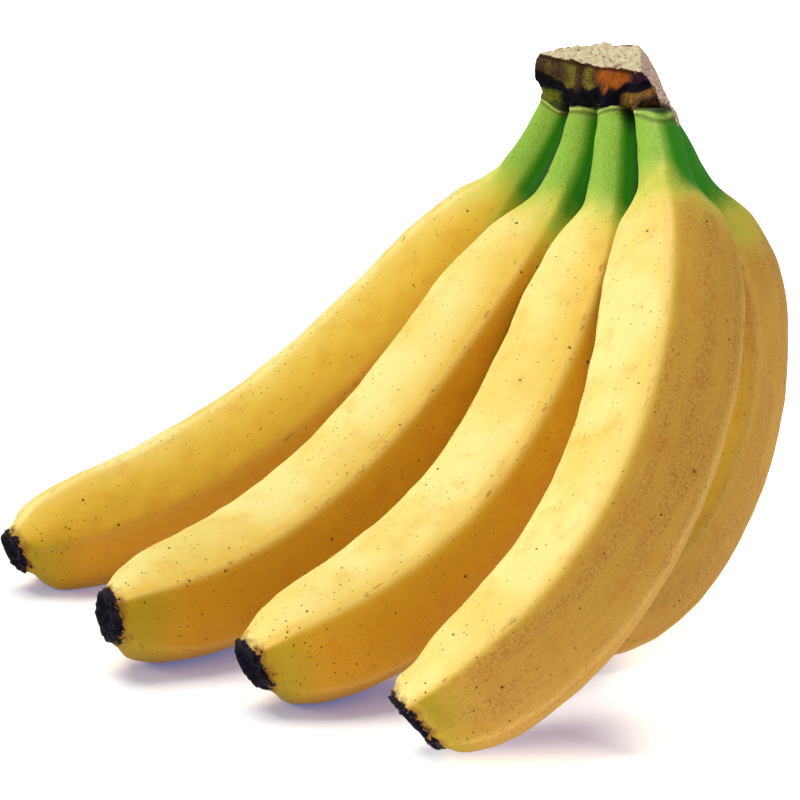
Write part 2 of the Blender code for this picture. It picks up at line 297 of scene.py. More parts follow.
def to_neighbour(points, number):
    """Distance from each point to the nearest other banana."""
    nearest = np.full(points.shape[:-1], 100.0)
    for other, banana in enumerate(BANANAS, 1):
        if other != number:
            places = np.arange(2.0, banana["length"], 4.0)
            middles = follow_arc(banana, places)[0]
            for middle, half in zip(middles, half_thickness(banana, places)):
                nearest = np.minimum(nearest, np.linalg.norm(points - middle, axis=-1) - half)
    return nearest


def new_piece(name, points, faces, material, nodes):
    """A mesh in the row's frame that rides on the hand and stands for its CAD solids."""
    mesh = bpy.data.meshes.new(name)
    low, high = (np.array(corner) for corner in cad_box)
    inside = np.clip(points, low + (BOX_MARGIN, BOX_MARGIN, 0.0), high - BOX_MARGIN)
    mesh.from_pydata([tuple(point) for point in inside], [], faces)
    mesh.shade_smooth()
    mesh.materials.append(material)
    piece = bpy.data.objects.new(name, mesh)
    bpy.context.scene.collection.objects.link(piece)
    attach(piece, "root")
    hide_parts(*nodes)
    return piece


def write_values(mesh, name, values):
    """Store one number or one vector for each point, for the material to read."""
    kind = "FLOAT" if values.ndim == 1 else "FLOAT_VECTOR"
    layer = mesh.attributes.new(name, kind, "POINT")
    layer.data.foreach_set("value" if values.ndim == 1 else "vector",
                           values.astype(np.float32).ravel())


def read_vectors(items, key):
    """The three numbers that each item of a mesh holds under a key."""
    values = np.zeros(len(items) * 3, np.float32)
    items.foreach_get(key, values)
    return values.reshape(-1, 3).astype(float)


class Graph:
    """A material's node tree. Each method adds one node and gives back its output."""

    def __init__(self, name):
        self.material = bpy.data.materials.new(name)
        self.material.use_nodes = True
        self.tree = self.material.node_tree
        self.shader = self.tree.nodes["Principled BSDF"]

    def put(self, socket, value):
        if isinstance(value, bpy.types.NodeSocket):
            self.tree.links.new(value, socket)
        elif isinstance(value, (tuple, list)) and len(value) == 3 and socket.type == "RGBA":
            socket.default_value = (*value, 1.0)
        else:
            socket.default_value = value

    def attribute(self, name, vector=False):
        node = self.tree.nodes.new("ShaderNodeAttribute")
        node.attribute_name = name
        return node.outputs["Vector" if vector else "Fac"]

    def across_floor(self):
        """Distances to the right of the row's middle and behind it, in metres."""
        node = self.tree.nodes.new("ShaderNodeTexCoord")
        split = self.tree.nodes.new("ShaderNodeSeparateXYZ")
        self.tree.links.new(node.outputs["Object"], split.inputs[0])
        return split.outputs["X"], split.outputs["Y"]

    def math(self, operation, first, second=0.0, third=0.0):
        node = self.tree.nodes.new("ShaderNodeMath")
        node.operation = operation
        for socket, value in zip(node.inputs, (first, second, third)):
            self.put(socket, value)
        return node.outputs[0]

    def stretch(self, vector, factors):
        node = self.tree.nodes.new("ShaderNodeVectorMath")
        node.operation = "MULTIPLY"
        self.put(node.inputs[0], vector)
        node.inputs[1].default_value = factors
        return node.outputs[0]

    def bend(self, vector, amount, scale):
        """Shift a vector by noise, so that what follows isn't straight."""
        wave = self.tree.nodes.new("ShaderNodeTexNoise")
        wave.inputs["Scale"].default_value = scale
        self.put(wave.inputs["Vector"], vector)
        node = self.tree.nodes.new("ShaderNodeVectorMath")
        node.operation = "MULTIPLY_ADD"
        self.put(node.inputs[0], wave.outputs["Color"])
        node.inputs[1].default_value = (amount,) * 3
        self.put(node.inputs[2], vector)
        return node.outputs[0]

    def noise(self, vector, scale, detail=2.0, roughness=0.5):
        node = self.tree.nodes.new("ShaderNodeTexNoise")
        self.put(node.inputs["Vector"], vector)
        for key, value in (("Scale", scale), ("Detail", detail), ("Roughness", roughness)):
            node.inputs[key].default_value = value
        return node.outputs["Fac"]

    def cells(self, vector, scale):
        """Distance to the nearest of scattered points, and a random number for each point."""
        node = self.tree.nodes.new("ShaderNodeTexVoronoi")
        self.put(node.inputs["Vector"], vector)
        node.inputs["Scale"].default_value = scale
        split = self.tree.nodes.new("ShaderNodeSeparateColor")
        self.tree.links.new(node.outputs["Color"], split.inputs[0])
        return node.outputs["Distance"], split.outputs[0]

    def fade(self, value, start, end, low=0.0, high=1.0):
        node = self.tree.nodes.new("ShaderNodeMapRange")
        node.interpolation_type = "SMOOTHSTEP"
        self.put(node.inputs["Value"], value)
        for key, number in (("From Min", start), ("From Max", end), ("To Min", low), ("To Max", high)):
            self.put(node.inputs[key], number)
        return node.outputs["Result"]

    def mix(self, factor, first, second, blend="MIX"):
        node = self.tree.nodes.new("ShaderNodeMix")
        node.data_type = "RGBA"
        node.blend_type = blend
        self.put(node.inputs[0], factor)
        self.put(node.inputs[6], first)
        self.put(node.inputs[7], second)
        return node.outputs[2]

    def bump(self, height, depth_mm):
        node = self.tree.nodes.new("ShaderNodeBump")
        node.inputs["Distance"].default_value = depth_mm * MM
        self.put(node.inputs["Height"], height)
        self.tree.links.new(node.outputs["Normal"], self.shader.inputs["Normal"])


def srgb(red, green, blue):
    """A screen colour, 0 to 255, as the shader's linear one."""
    shares = [value / 255 for value in (red, green, blue)]
    return tuple(s / 12.92 if s <= 0.04045 else ((s + 0.055) / 1.055) ** 2.4 for s in shares)


def peel_ground(graph, place):
    """Painted light and shade: cream on the side turned to the light, golden between and deep on the
    side in shade, with warm patches.
    """
    broad = graph.noise(place, 0.035, 2.0)
    patch = graph.noise(place, 0.13, 4.0, 0.6)
    worn = graph.fade(graph.attribute("worn"), 0.2, 0.8)
    cream = graph.mix(graph.fade(broad, 0.38, 0.62), srgb(230, 206, 110), srgb(236, 222, 142))
    # Painted light: cream on the side turned to the light.
    painted_light_tone = graph.mix(graph.attribute("painted_light"), srgb(228, 188, 62), cream)
    # Painted shade: deep orange, or browner on a worn banana, on the side in shade.
    painted_shade_tone = graph.mix(worn, srgb(212, 144, 8), srgb(192, 146, 60))
    colour = graph.mix(graph.math("MULTIPLY", graph.attribute("painted_shade"), 0.90), painted_light_tone, painted_shade_tone)
    warm = graph.mix(1.0, colour, srgb(244, 206, 140), "MULTIPLY")
    return graph.mix(graph.fade(patch, 0.48, 0.76, 0.0, 0.42), colour, warm)


def tan_strength(graph, place, mottle):
    """How much tan mottling shows: most on the shaded side of a worn banana, in long bands."""
    band = graph.fade(graph.noise(graph.stretch(place, (0.16, 0.16, 0.02)), 1.0, 2.0), 0.42, 0.60)
    tan = graph.math("MULTIPLY", graph.fade(mottle, 0.44, 0.60), graph.attribute("worn"))
    tan = graph.math("MULTIPLY", tan, graph.math("MULTIPLY_ADD", band, 0.70, 0.30))
    painted_shade = graph.fade(graph.attribute("painted_shade"), 0.25, 0.9, 0.10, 1.0)
    return graph.math("MULTIPLY", tan, painted_shade)


def add_streaks(graph, colour, fibre):
    """Fine brown streaks along the fruit, and a painted highlight as a pale line on each ridge, weaker
    where shade is painted.
    """
    painted_shade = graph.attribute("painted_shade")
    worn = graph.fade(graph.attribute("worn"), 0.2, 1.0, 0.07, 0.30)
    streak = graph.math("MULTIPLY", graph.fade(fibre, 0.48, 0.78), worn)
    streak = graph.math("MULTIPLY", streak, graph.fade(painted_shade, 0.0, 0.6, 0.35, 1.0))
    colour = graph.mix(streak, colour, srgb(160, 100, 44))
    # Painted highlight: a cream line along each ridge.
    pale = graph.math("MULTIPLY", graph.attribute("ridge"), graph.fade(painted_shade, 0.2, 1.0, 0.40, 0.12))
    return graph.mix(pale, colour, srgb(250, 226, 150))


def add_green(graph, colour, place, mottle, wander):
    """The green stalk, which fades to yellow with a ragged edge, and painted shade makes it darker on
    its side away from the light.
    """
    reach = graph.math("MULTIPLY_ADD", wander, 22.0, graph.attribute("root_mm"))
    reach = graph.math("MULTIPLY_ADD", graph.attribute("painted_shade"), -8.0, reach)
    pale_green = graph.math("MULTIPLY", graph.fade(reach, 66.0, 44.0), 0.8)
    full_green = graph.math("MULTIPLY", graph.fade(reach, 55.0, 36.0), 0.97)
    fine = graph.fade(graph.noise(place, 1.8, 4.0, 0.7), 0.36, 0.64)
    fresh = graph.mix(fine, srgb(116, 164, 46), srgb(148, 190, 74))
    # Painted shade: a darker green on the stalk's side away from the light.
    painted_shade_green = graph.mix(mottle, srgb(4, 96, 0), srgb(10, 148, 6))
    leaf = graph.mix(graph.attribute("lee_painted_shade"), fresh, painted_shade_green)
    colour = graph.mix(pale_green, colour, srgb(206, 206, 80))
    return graph.mix(full_green, colour, leaf)


def add_olive_tip(graph, colour, wander):
    """The olive flush on the shaded side near the dry end."""
    reach = graph.math("MULTIPLY_ADD", wander, 10.0, graph.attribute("tip_mm"))
    painted_shade = graph.fade(graph.attribute("painted_shade"), 0.1, 0.8)
    olive = graph.math("MULTIPLY", graph.fade(reach, 25.0, 9.0), painted_shade)
    return graph.mix(graph.math("MULTIPLY", olive, 0.68), colour, srgb(164, 148, 14))


def spots(graph, place, scale, power, size):
    """Scattered round spots, most of them far smaller than the largest."""
    distance, chance = graph.cells(place, scale)
    largest = graph.math("MULTIPLY", graph.math("POWER", chance, power), size)
    return graph.math("LESS_THAN", distance, largest)


def add_specks(graph, colour, place, freckle, dusty):
    """Dark freckles, fine dust that thickens towards the tip, and rubbed places on the ridges."""
    colour = graph.mix(graph.math("MULTIPLY", freckle, 0.85), colour, srgb(84, 50, 22))
    near_tip = graph.fade(graph.attribute("tip_mm"), 45.0, 8.0, 0.55, 0.95)
    colour = graph.mix(graph.math("MULTIPLY", dusty, near_tip), colour, srgb(104, 60, 22))
    scuff = graph.noise(graph.stretch(place, (0.5, 0.5, 0.16)), 1.0, 5.0, 0.7)
    scuff = graph.math("MULTIPLY_ADD", graph.attribute("ridge"), 0.15, scuff)
    scuff = graph.math("MULTIPLY", graph.fade(scuff, 0.69, 0.79), 0.55)
    return graph.mix(scuff, colour, srgb(150, 96, 44))


def add_dry_end(graph, colour, place, tip_edge, black_end):
    """The dry flower end, brown at its edge and sooty with a violet cast beyond."""
    brown_end = graph.math("MULTIPLY", graph.fade(tip_edge, 8.4, 5.9), 0.7)
    colour = graph.mix(brown_end, colour, srgb(140, 80, 34))
    soot = graph.mix(graph.fade(graph.noise(place, 1.1, 4.0), 0.5, 0.75), srgb(7, 2, 28),
                     srgb(38, 18, 62))
    return graph.mix(black_end, colour, soot)


def add_collar(graph, colour, mottle):
    """The collar under the crown: a pale raised line, with painted shade in the groove below it and on
    the skin above it, under the crown.
    """
    collar = graph.attribute("collar")
    # Painted shade in the groove between the raised lines.
    painted_groove_shade = graph.math("MULTIPLY", graph.fade(collar, 5.5, 5.8), graph.fade(collar, 7.2, 6.4))
    colour = graph.mix(graph.math("MULTIPLY", painted_groove_shade, 0.55), colour, srgb(66, 66, 20))
    pale = graph.mix(graph.fade(mottle, 0.35, 0.6), srgb(132, 130, 52), srgb(220, 214, 136))
    colour = graph.mix(graph.attribute("rim"), colour, pale)
    # Painted shade on the skin just under the crown.
    painted_shade_above_rim = graph.math("MULTIPLY", graph.fade(collar, 4.9, 4.3), 0.9)
    return graph.mix(painted_shade_above_rim, colour, srgb(40, 30, 22))


def add_shade(graph, colour):
    """Painted shade: brown between neighbours, and near black in the narrowest gaps."""
    painted_dusk_shade = graph.mix(1.0, colour, srgb(96, 44, 24), "MULTIPLY")
    colour = graph.mix(graph.attribute("painted_crevice_shade"), colour, painted_dusk_shade)
    painted_gap_shade = graph.math("MULTIPLY", graph.attribute("painted_gap_shade"), 0.92)
    return graph.mix(painted_gap_shade, colour, graph.mix(1.0, colour, srgb(60, 30, 30), "MULTIPLY"))


def peel_relief(graph, place, fibre, freckle, black_end):
    """Height of the peel's fibres and pores, its sunken freckles and the crusted dry end."""
    pores = graph.noise(place, 2.2, 3.0, 0.6)
    relief = graph.math("MULTIPLY_ADD", fibre, 0.3, graph.math("MULTIPLY", pores, 0.5))
    relief = graph.math("MULTIPLY_ADD", freckle, -0.35, relief)
    crust = graph.math("MULTIPLY", graph.noise(place, 1.3, 5.0, 0.75), black_end)
    return graph.math("MULTIPLY_ADD", crust, 3.0, relief)


def skin_material():
    """Banana peel: yellow body, green stalk, black dry end, with streaks, specks and scuffs, and painted
    light and shade.
    """
    graph = Graph("banana_peel")
    place = graph.attribute("straight", vector=True)
    mottle = graph.noise(place, 1.3, 6.0, 0.75)
    fibre = graph.noise(graph.stretch(place, (1.1, 1.1, 0.045)), 1.0, 4.0, 0.65)
    wander = graph.noise(graph.stretch(place, (0.12, 0.12, 0.05)), 1.0, 3.0)
    tan = tan_strength(graph, place, mottle)
    speck_place = graph.bend(place, 0.5, 1.3)
    freckle = spots(graph, speck_place, 0.30, 6.0, 0.17)
    dusty = spots(graph, speck_place, 0.75, 3.0, 0.26)
    ragged = graph.noise(place, 0.34, 4.0, 0.7)
    tip_edge = graph.math("MULTIPLY_ADD", ragged, 8.0, graph.attribute("tip_mm"))
    black_end = graph.fade(tip_edge, 6.2, 5.5)

    colour = peel_ground(graph, place)
    colour = graph.mix(graph.math("MULTIPLY", tan, 0.66), colour, srgb(156, 100, 56))
    colour = add_streaks(graph, colour, fibre)
    colour = add_green(graph, colour, place, mottle, wander)
    colour = add_olive_tip(graph, colour, wander)
    colour = add_specks(graph, colour, place, freckle, dusty)
    colour = add_dry_end(graph, colour, place, tip_edge, black_end)
    colour = add_collar(graph, colour, mottle)
    colour = add_shade(graph, colour)
    graph.put(graph.shader.inputs["Base Color"], colour)

    rough = graph.fade(graph.noise(place, 0.4, 3.0), 0.3, 0.7, 0.40, 0.54)
    rough = graph.math("MULTIPLY_ADD", tan, 0.12, rough)
    rough = graph.math("MULTIPLY_ADD", black_end, -0.16, rough)
    graph.put(graph.shader.inputs["Roughness"], rough)
    graph.shader.inputs["Specular IOR Level"].default_value = 0.20
    graph.shader.inputs["Subsurface Weight"].default_value = 0.05
    graph.shader.inputs["Subsurface Radius"].default_value = (1.0, 0.55, 0.12)
    graph.shader.inputs["Subsurface Scale"].default_value = 1.5 * MM
    graph.bump(peel_relief(graph, place, fibre, freckle, black_end), 0.25)
    return graph.material


def bark_colour(graph, grain, fleck):
    """The crown's bruised sides: purple-brown with olive, rust and plum patches, and a near-black
    painted shadow below.
    """
    bark = graph.mix(graph.fade(grain, 0.40, 0.60), srgb(24, 10, 18), srgb(112, 74, 48))
    bark = graph.mix(graph.fade(fleck, 0.50, 0.62, 0.0, 0.80), bark, srgb(22, 8, 26))
    olive = graph.math("MULTIPLY", graph.attribute("olive"), graph.fade(grain, 0.34, 0.54))
    bark = graph.mix(olive, bark, srgb(140, 132, 44))
    rust = graph.mix(graph.fade(grain, 0.35, 0.65), srgb(140, 56, 14), srgb(224, 128, 34))
    orange = graph.math("MULTIPLY", graph.attribute("orange"), graph.fade(fleck, 0.70, 0.45))
    bark = graph.mix(orange, bark, rust)
    bark = graph.mix(graph.math("MULTIPLY", graph.attribute("plum"), 0.75), bark, srgb(56, 18, 64))
    bark = graph.mix(graph.math("MULTIPLY", graph.attribute("edge"), 0.85), bark, srgb(58, 18, 12))
    # Painted shadow on the crown's underside.
    shadow = graph.mix(graph.fade(grain, 0.42, 0.68), srgb(2, 0, 14), srgb(14, 6, 34))
    bark = graph.mix(graph.attribute("painted_shadow_below"), bark, shadow)
    fresh = graph.mix(graph.fade(grain, 0.35, 0.62), srgb(52, 70, 10), srgb(142, 144, 40))
    bark = graph.mix(graph.attribute("green"), bark, fresh)
    ochre = graph.mix(graph.fade(grain, 0.38, 0.62), srgb(64, 34, 14), srgb(190, 140, 66))
    return graph.mix(graph.attribute("ochre"), bark, ochre)


def flesh_colour(graph, place, fleck, pit):
    """The cut top: cream fibres with brown flecks, dark pits, a scar and a faint blush."""
    fibres = graph.fade(graph.noise(place, 0.60, 6.0, 0.76), 0.32, 0.48)
    flesh = graph.mix(fibres, srgb(206, 136, 96), srgb(255, 243, 206))
    flesh = graph.mix(graph.fade(fleck, 0.57, 0.67, 0.0, 0.75), flesh, srgb(132, 76, 46))
    flesh = graph.mix(graph.math("MULTIPLY", pit, 0.8), flesh, srgb(118, 62, 58))
    flesh = graph.mix(graph.attribute("scar"), flesh, srgb(74, 34, 40))
    blush = graph.fade(graph.noise(place, 0.22, 3.0), 0.55, 0.70, 0.0, 0.3)
    return graph.mix(blush, flesh, srgb(228, 168, 146))


def crown_material():
    """The crown: pale cut fibres on top, bruised purple-brown sides with a painted shadow below, and a
    torn pinkish strip.
    """
    graph = Graph("crown_rind_look")
    place = graph.attribute("place", vector=True)
    cut = graph.attribute("cut")
    grain = graph.noise(place, 1.5, 6.0, 0.82)
    fleck = graph.noise(place, 3.0, 4.0, 0.75)
    pit = spots(graph, graph.bend(place, 0.7, 0.8), 0.62, 2.5, 0.38)
    torn = graph.noise(graph.stretch(place, (1.6, 1.6, 0.35)), 1.0, 6.0, 0.78)
    skin = graph.mix(graph.fade(torn, 0.38, 0.60), srgb(158, 104, 98), srgb(255, 232, 216))
    skin = graph.mix(graph.fade(fleck, 0.60, 0.70, 0.0, 0.7), skin, srgb(110, 66, 70))
    colour = graph.mix(graph.attribute("strip"), bark_colour(graph, grain, fleck), skin)
    colour = graph.mix(cut, colour, flesh_colour(graph, place, fleck, pit))
    graph.put(graph.shader.inputs["Base Color"], colour)
    graph.put(graph.shader.inputs["Roughness"], graph.fade(grain, 0.3, 0.7, 0.55, 0.8))
    graph.shader.inputs["Specular IOR Level"].default_value = 0.10

    relief = graph.math("MULTIPLY_ADD", fleck, 0.5, grain)
    relief = graph.math("MULTIPLY_ADD", graph.math("MULTIPLY", pit, cut), -0.8, relief)
    graph.bump(relief, 0.6)
    return graph.material


def ring_places(length):
    """Where the rings lie along a banana, closest at its collar and at its dry end."""
    return np.concatenate((
        np.arange(-1.0, STALK_FINE, END_STEP),
        np.linspace(STALK_FINE, length - TIP_FINE, int((length - TIP_FINE - STALK_FINE) / BODY_STEP)),
        length - np.arange(TIP_FINE - END_STEP, -1e-6, -END_STEP),
    ))


def round_axis(angles, inner, across):
    """Directions away from the axis at each ring, by angle."""
    return (np.cos(angles)[None, :, None] * inner[:, None, :]
            + np.sin(angles)[None, :, None] * across[:, None, :])


def collar_rim(collar, straight):
    """Strength of the raised lines round the collar at each point."""
    patchy = np.clip(0.65 + bumps(straight, 0.45, 4.5, 20), 0.15, 1.0)
    return patchy * sum(strength * np.exp(-((collar - place) / width) ** 2)
                        for place, width, strength in COLLAR_LINES)


def roughen(reach, straight, places, rim, crusty):
    """The radius with the peel's unevenness, the collar's rim and the crust of the dry end."""
    reach = reach + bumps(straight, *PEEL_WAVES) * fade(places, 12, 40)[:, None]
    reach = reach + bumps(straight, *PEEL_BUMPS) * (1 - crusty)
    reach = reach + COLLAR_HEIGHT * rim * (1 + bumps(straight, 0.5, 4.0, 13))
    crust = np.abs(lumps(straight, 2.2, 14)) - 0.7 + bumps(straight, 0.5, 1.1, 15)
    return reach + CRUST_HEIGHT * crusty * crust


def end_slant(number, tip, direction, outward):
    """How far each point of the dry end moves along the axis, for each mm of its radius."""
    to_viewer = np.array(CAMERA_PLACE) - tip
    to_viewer -= (to_viewer @ direction) * direction
    to_viewer /= np.linalg.norm(to_viewer)
    upward = np.cross(direction, to_viewer)
    return (END_SLANT[number - 1] * (outward @ to_viewer)
            + END_TURN[number - 1] * (outward @ upward - END_TURN_BACK))


def hollow_rings(rim, direction):
    """Rings that close a dry end, sunk and crusted inside its rim."""
    centre = rim.mean(axis=0)
    rings = []
    for share, depth in HOLLOW:
        ring = centre + share * (rim - centre)
        uneven = bumps(ring, 0.35, 1.6, 17) + bumps(ring, 0.25, 0.8, 18)
        rings.append(ring - np.outer(depth + uneven * fade(share, 1.0, 0.8), direction))
    return rings


def banana_form(number, banana):
    """The points round one banana, ring by ring, and what its material has to know of them."""
    length = banana["length"]
    ridge = math.radians(banana["ridge"])
    places = ring_places(length)
    back = length - places[:, None]
    around = np.arange(AROUND) * 2 * math.pi / AROUND + ridge
    points, direction, inner = follow_arc(banana, places)
    points[:, 0] += STALK_LEAN[number - 1] * fade(places, 5, 18) * fade(places, 62, 42)
    across = np.cross(direction, inner)
    radius = half_thickness(banana, places)
    radius *= 1.0 + STALK_PLUMPER[number - 1] * fade(places, 6, 14) * fade(places, 60, 30)
    pentagon = along(RIDGE_SHARES, TIP_RIDGE_SHARES, length, places)[:, None]
    outward = round_axis(around, inner, across)
    reach = radius[:, None] * section(around[None, :], ridge, pentagon)
    sections = points[:, None, :] + reach[..., None] * outward
    settle = sections[..., 2].min() + REST_CUT

    straight = np.stack((reach * np.cos(around), reach * np.sin(around),
                         np.repeat(places[:, None], AROUND, axis=1)), axis=-1)
    straight[..., 2] += APART_IN_PATTERN * number
    collar = np.repeat(places[:, None], AROUND, axis=1)
    if number == SLANTED:
        below = foot_height(sections[..., 1]) - sections[..., 2] + settle
        collar = below + COLLAR_BELOW_CROWN
    collar = collar + bumps(straight, *COLLAR_WAVES)
    rim = collar_rim(collar, straight)
    crusty = fade(back + DRY_END_SHORTER[number - 1], 2.8, 1.6)
    reach = roughen(reach, straight, places, rim, crusty)
    sections = points[:, None, :] + reach[..., None] * outward
    slant = end_slant(number, points[-1], direction[-1], outward)
    slant = slant * reach * fade(back, END_SLANT_FROM, 0.0)
    sections += slant[..., None] * direction[:, None, :]
    return SimpleNamespace(places=places, back=back, around=around, ridge=ridge, inner=inner,
                           across=across, direction=direction, outward=outward, sections=sections,
                           pentagon=pentagon, settle=settle, straight=straight, collar=collar, rim=rim)


def facing_shade(form):
    """How squarely each point faces the side that gets painted shade, nearly one value for each flat of
    the fruit.
    """
    turn = 2 * math.pi / RIDGES
    flat = form.ridge + (np.floor((form.around - form.ridge) / turn) + 0.5) * turn
    away = from_nearest_ridge(form.around, form.ridge)
    flatness = (1.1 * form.pentagon * fade(away, 0.0, 0.18)[None, :])[..., None]
    facing = flatness * round_axis(flat, form.inner, form.across) + (1.0 - flatness) * form.outward
    return facing @ np.array(PAINTED_SHADE_SIDE)


def write_banana_looks(mesh, number, form):
    """Store what the peel's material reads at each point of a banana and of its hollow end."""
    def write(name, value, lower=0.0):
        value = np.broadcast_to(value, form.outward.shape[:2])
        beyond = np.repeat(value[-1:] - lower, len(HOLLOW), axis=0)
        write_values(mesh, name, np.concatenate((value, beyond)).ravel())

    places = form.places[:, None]
    sunk = np.stack([form.straight[-1] * (share, share, 1.0) + (0, 0, 3.0 * (1 - share))
                     for share, _ in HOLLOW])
    write_values(mesh, "straight", np.concatenate((form.straight, sunk)).reshape(-1, 3))
    write("root_mm", places)
    write("tip_mm", form.back + DRY_END_SHORTER[number - 1], HOLLOW_DEEPER)
    write("collar", form.collar)
    write("rim", np.clip(form.rim, 0, 1) * 0.85)
    on_ridge = np.exp(-(from_nearest_ridge(form.around, form.ridge) / 0.065) ** 2)
    write("ridge", on_ridge[None, :] * fade(places, 30, 60))
    facing = facing_shade(form)
    # Painted shade and painted light, set by which way each flat of the fruit faces.
    write("painted_shade", fade(facing + PAINTED_SHADE_SPREADS[number - 1], -0.05, 0.70))
    write("painted_light", fade(facing, 0.05, -0.50))
    to_right = form.outward[..., 0]
    # Painted shade on the side of each banana turned away from the light, used on the stalk.
    write("lee_painted_shade", fade(to_right - 0.15 * form.outward[..., 2], -0.30, 0.30))
    # Painted shade near a neighbour, near black in the narrowest gaps and on the stalks' side away from
    # the light.
    between = to_neighbour(form.sections, number)
    write("painted_crevice_shade", fade(between / np.interp(places, (60.0, 130.0), SHADE_REACH), 1.0, 0.08))
    painted_gap_shade = fade(between, *GAP_REACH)
    if number < SLANTED:
        leeward = fade(to_right, 0.45, 0.95) * fade(places, 80, 60)
        painted_gap_shade = np.maximum(painted_gap_shade, 0.9 * leeward * fade(between, *LEE_GAP_REACH))
    write("painted_gap_shade", painted_gap_shade)
    write("worn", np.full(form.outward.shape[:2], WORN[number - 1]))


def build_banana(number, banana, material):
    """One banana as a fine mesh: stalk with its rim, ridged body and crusted dry end."""
    form = banana_form(number, banana)
    grid = np.concatenate((form.sections, hollow_rings(form.sections[-1], form.direction[-1])))
    grid[..., 2] -= form.settle
    roof = foot_height(grid[..., 1]) + 0.8
    grid[..., 2] = np.clip(grid[..., 2], 0.0, roof)

    index = np.arange(len(grid) * AROUND).reshape(-1, AROUND)
    beside = np.roll(index, -1, axis=1)
    faces = np.stack((index[:-1], beside[:-1], beside[1:], index[1:]), axis=-1).reshape(-1, 4)
    faces = faces[:, ::-1].tolist()
    faces.append(index[0].tolist())
    faces.append(index[-1][::-1].tolist())
    piece = new_piece(f"banana_{number}_peel", to_row(grid.reshape(-1, 3)), faces, material,
                      [f"banana_{number}"])
    write_banana_looks(piece.data, number, form)


def crown_ring(levels, points_a_side):
    """Points round the crown, a few to each side, from its corners."""
    corners = np.array(levels)
    following = np.roll(corners, -1, axis=0)
    shares = np.arange(points_a_side) / points_a_side
    sides = [start + np.outer(shares, end - start) for start, end in zip(corners, following)]
    return np.concatenate(sides)


def loft(bm, rings):
    """Skin between neighbouring rings of points, and a cap on both ends."""
    made = [[bm.verts.new(tuple(point)) for point in ring] for ring in rings]
    for ring, following in zip(made, made[1:]):
        for k, vertex in enumerate(ring):
            bm.faces.new((vertex, ring[k - 1], following[k - 1], following[k]))
    bm.faces.new(made[0])
    bm.faces.new(made[-1][::-1])


def crown_block_rings():
    """Rings of the crown's block, from the cut top to the drawn-in foot."""
    nose = np.array(CROWN_CORNERS[0][0])
    top = []
    low = []
    for upper, lower in CROWN_CORNERS:
        height = CROWN_TOP_HEIGHT + float(np.dot(CROWN_TOP_RISE, upper - nose))
        top.append((*upper, height))
        low.append(lower)
    top = crown_ring(top, 10)
    low = crown_ring(low, 10)
    centre = low.mean(axis=0)
    outward = low - centre
    outward[:, 2] = 0.0
    outward /= np.linalg.norm(outward, axis=1)[:, None]
    middle = 0.5 * (top + low) + 0.5 * outward
    foot = centre + CROWN_UNDERCUT * (low - centre)
    foot[:, 2] = foot_height(foot[:, 1]) + 0.6
    return [top, middle, low, foot]


def neck_rings(banana):
    """Rings of the crown's short swelling above a stalk."""
    root, first, inward = arc_axes(banana)
    side = np.cross(first, inward)
    width = 0.5 * banana["thick"] * STALK_SHARES[1][1] * banana["waist"] + 0.3
    angles = np.linspace(0, 2 * math.pi, 32, endpoint=False)
    rings = []
    for place, share in ((-NECK_REACH, 0.85), (2.0, 0.97), (6.0, 1.03)):
        middle = root + place * first
        ring = middle + width * share * (np.outer(np.cos(angles), inward)
                                         + np.outer(np.sin(angles), side))
        ring[:, 2] = np.maximum(ring[:, 2], foot_height(ring[:, 1]))
        rings.append(ring)
    return rings


def strip_rings():
    """Rings of the torn strip, from the cut top down to its hanging tip."""
    rings = []
    for back, front, thick in STRIP_LEVELS:
        back, front = np.array(back), np.array(front)
        inward = np.array((front[1] - back[1], back[0] - front[0], 0.0))
        inward *= thick / np.linalg.norm(inward)
        rings.append(np.array((back, front, front + inward, back + inward)))
    return rings


def fused_crown_mesh():
    """Block, necks and strip fused by a fine voxel remesh."""
    bm = bmesh.new()
    loft(bm, crown_block_rings())
    for banana in BANANAS:
        loft(bm, neck_rings(banana))
    loft(bm, strip_rings())
    bmesh.ops.recalc_face_normals(bm, faces=bm.faces[:])
    mesh = bpy.data.meshes.new("crown_rough")
    bm.to_mesh(mesh)
    bm.free()
    rough = bpy.data.objects.new("crown_rough", mesh)
    bpy.context.scene.collection.objects.link(rough)
    remesh = rough.modifiers.new("fuse", "REMESH")
    remesh.mode = "VOXEL"
    remesh.voxel_size = CROWN_VOXEL
    smooth = rough.modifiers.new("soften", "SMOOTH")
    smooth.factor = 0.5
    smooth.iterations = 2
    graph = bpy.context.evaluated_depsgraph_get()
    fused = bpy.data.meshes.new_from_object(rough.evaluated_get(graph))
    bpy.data.objects.remove(rough)
    return fused


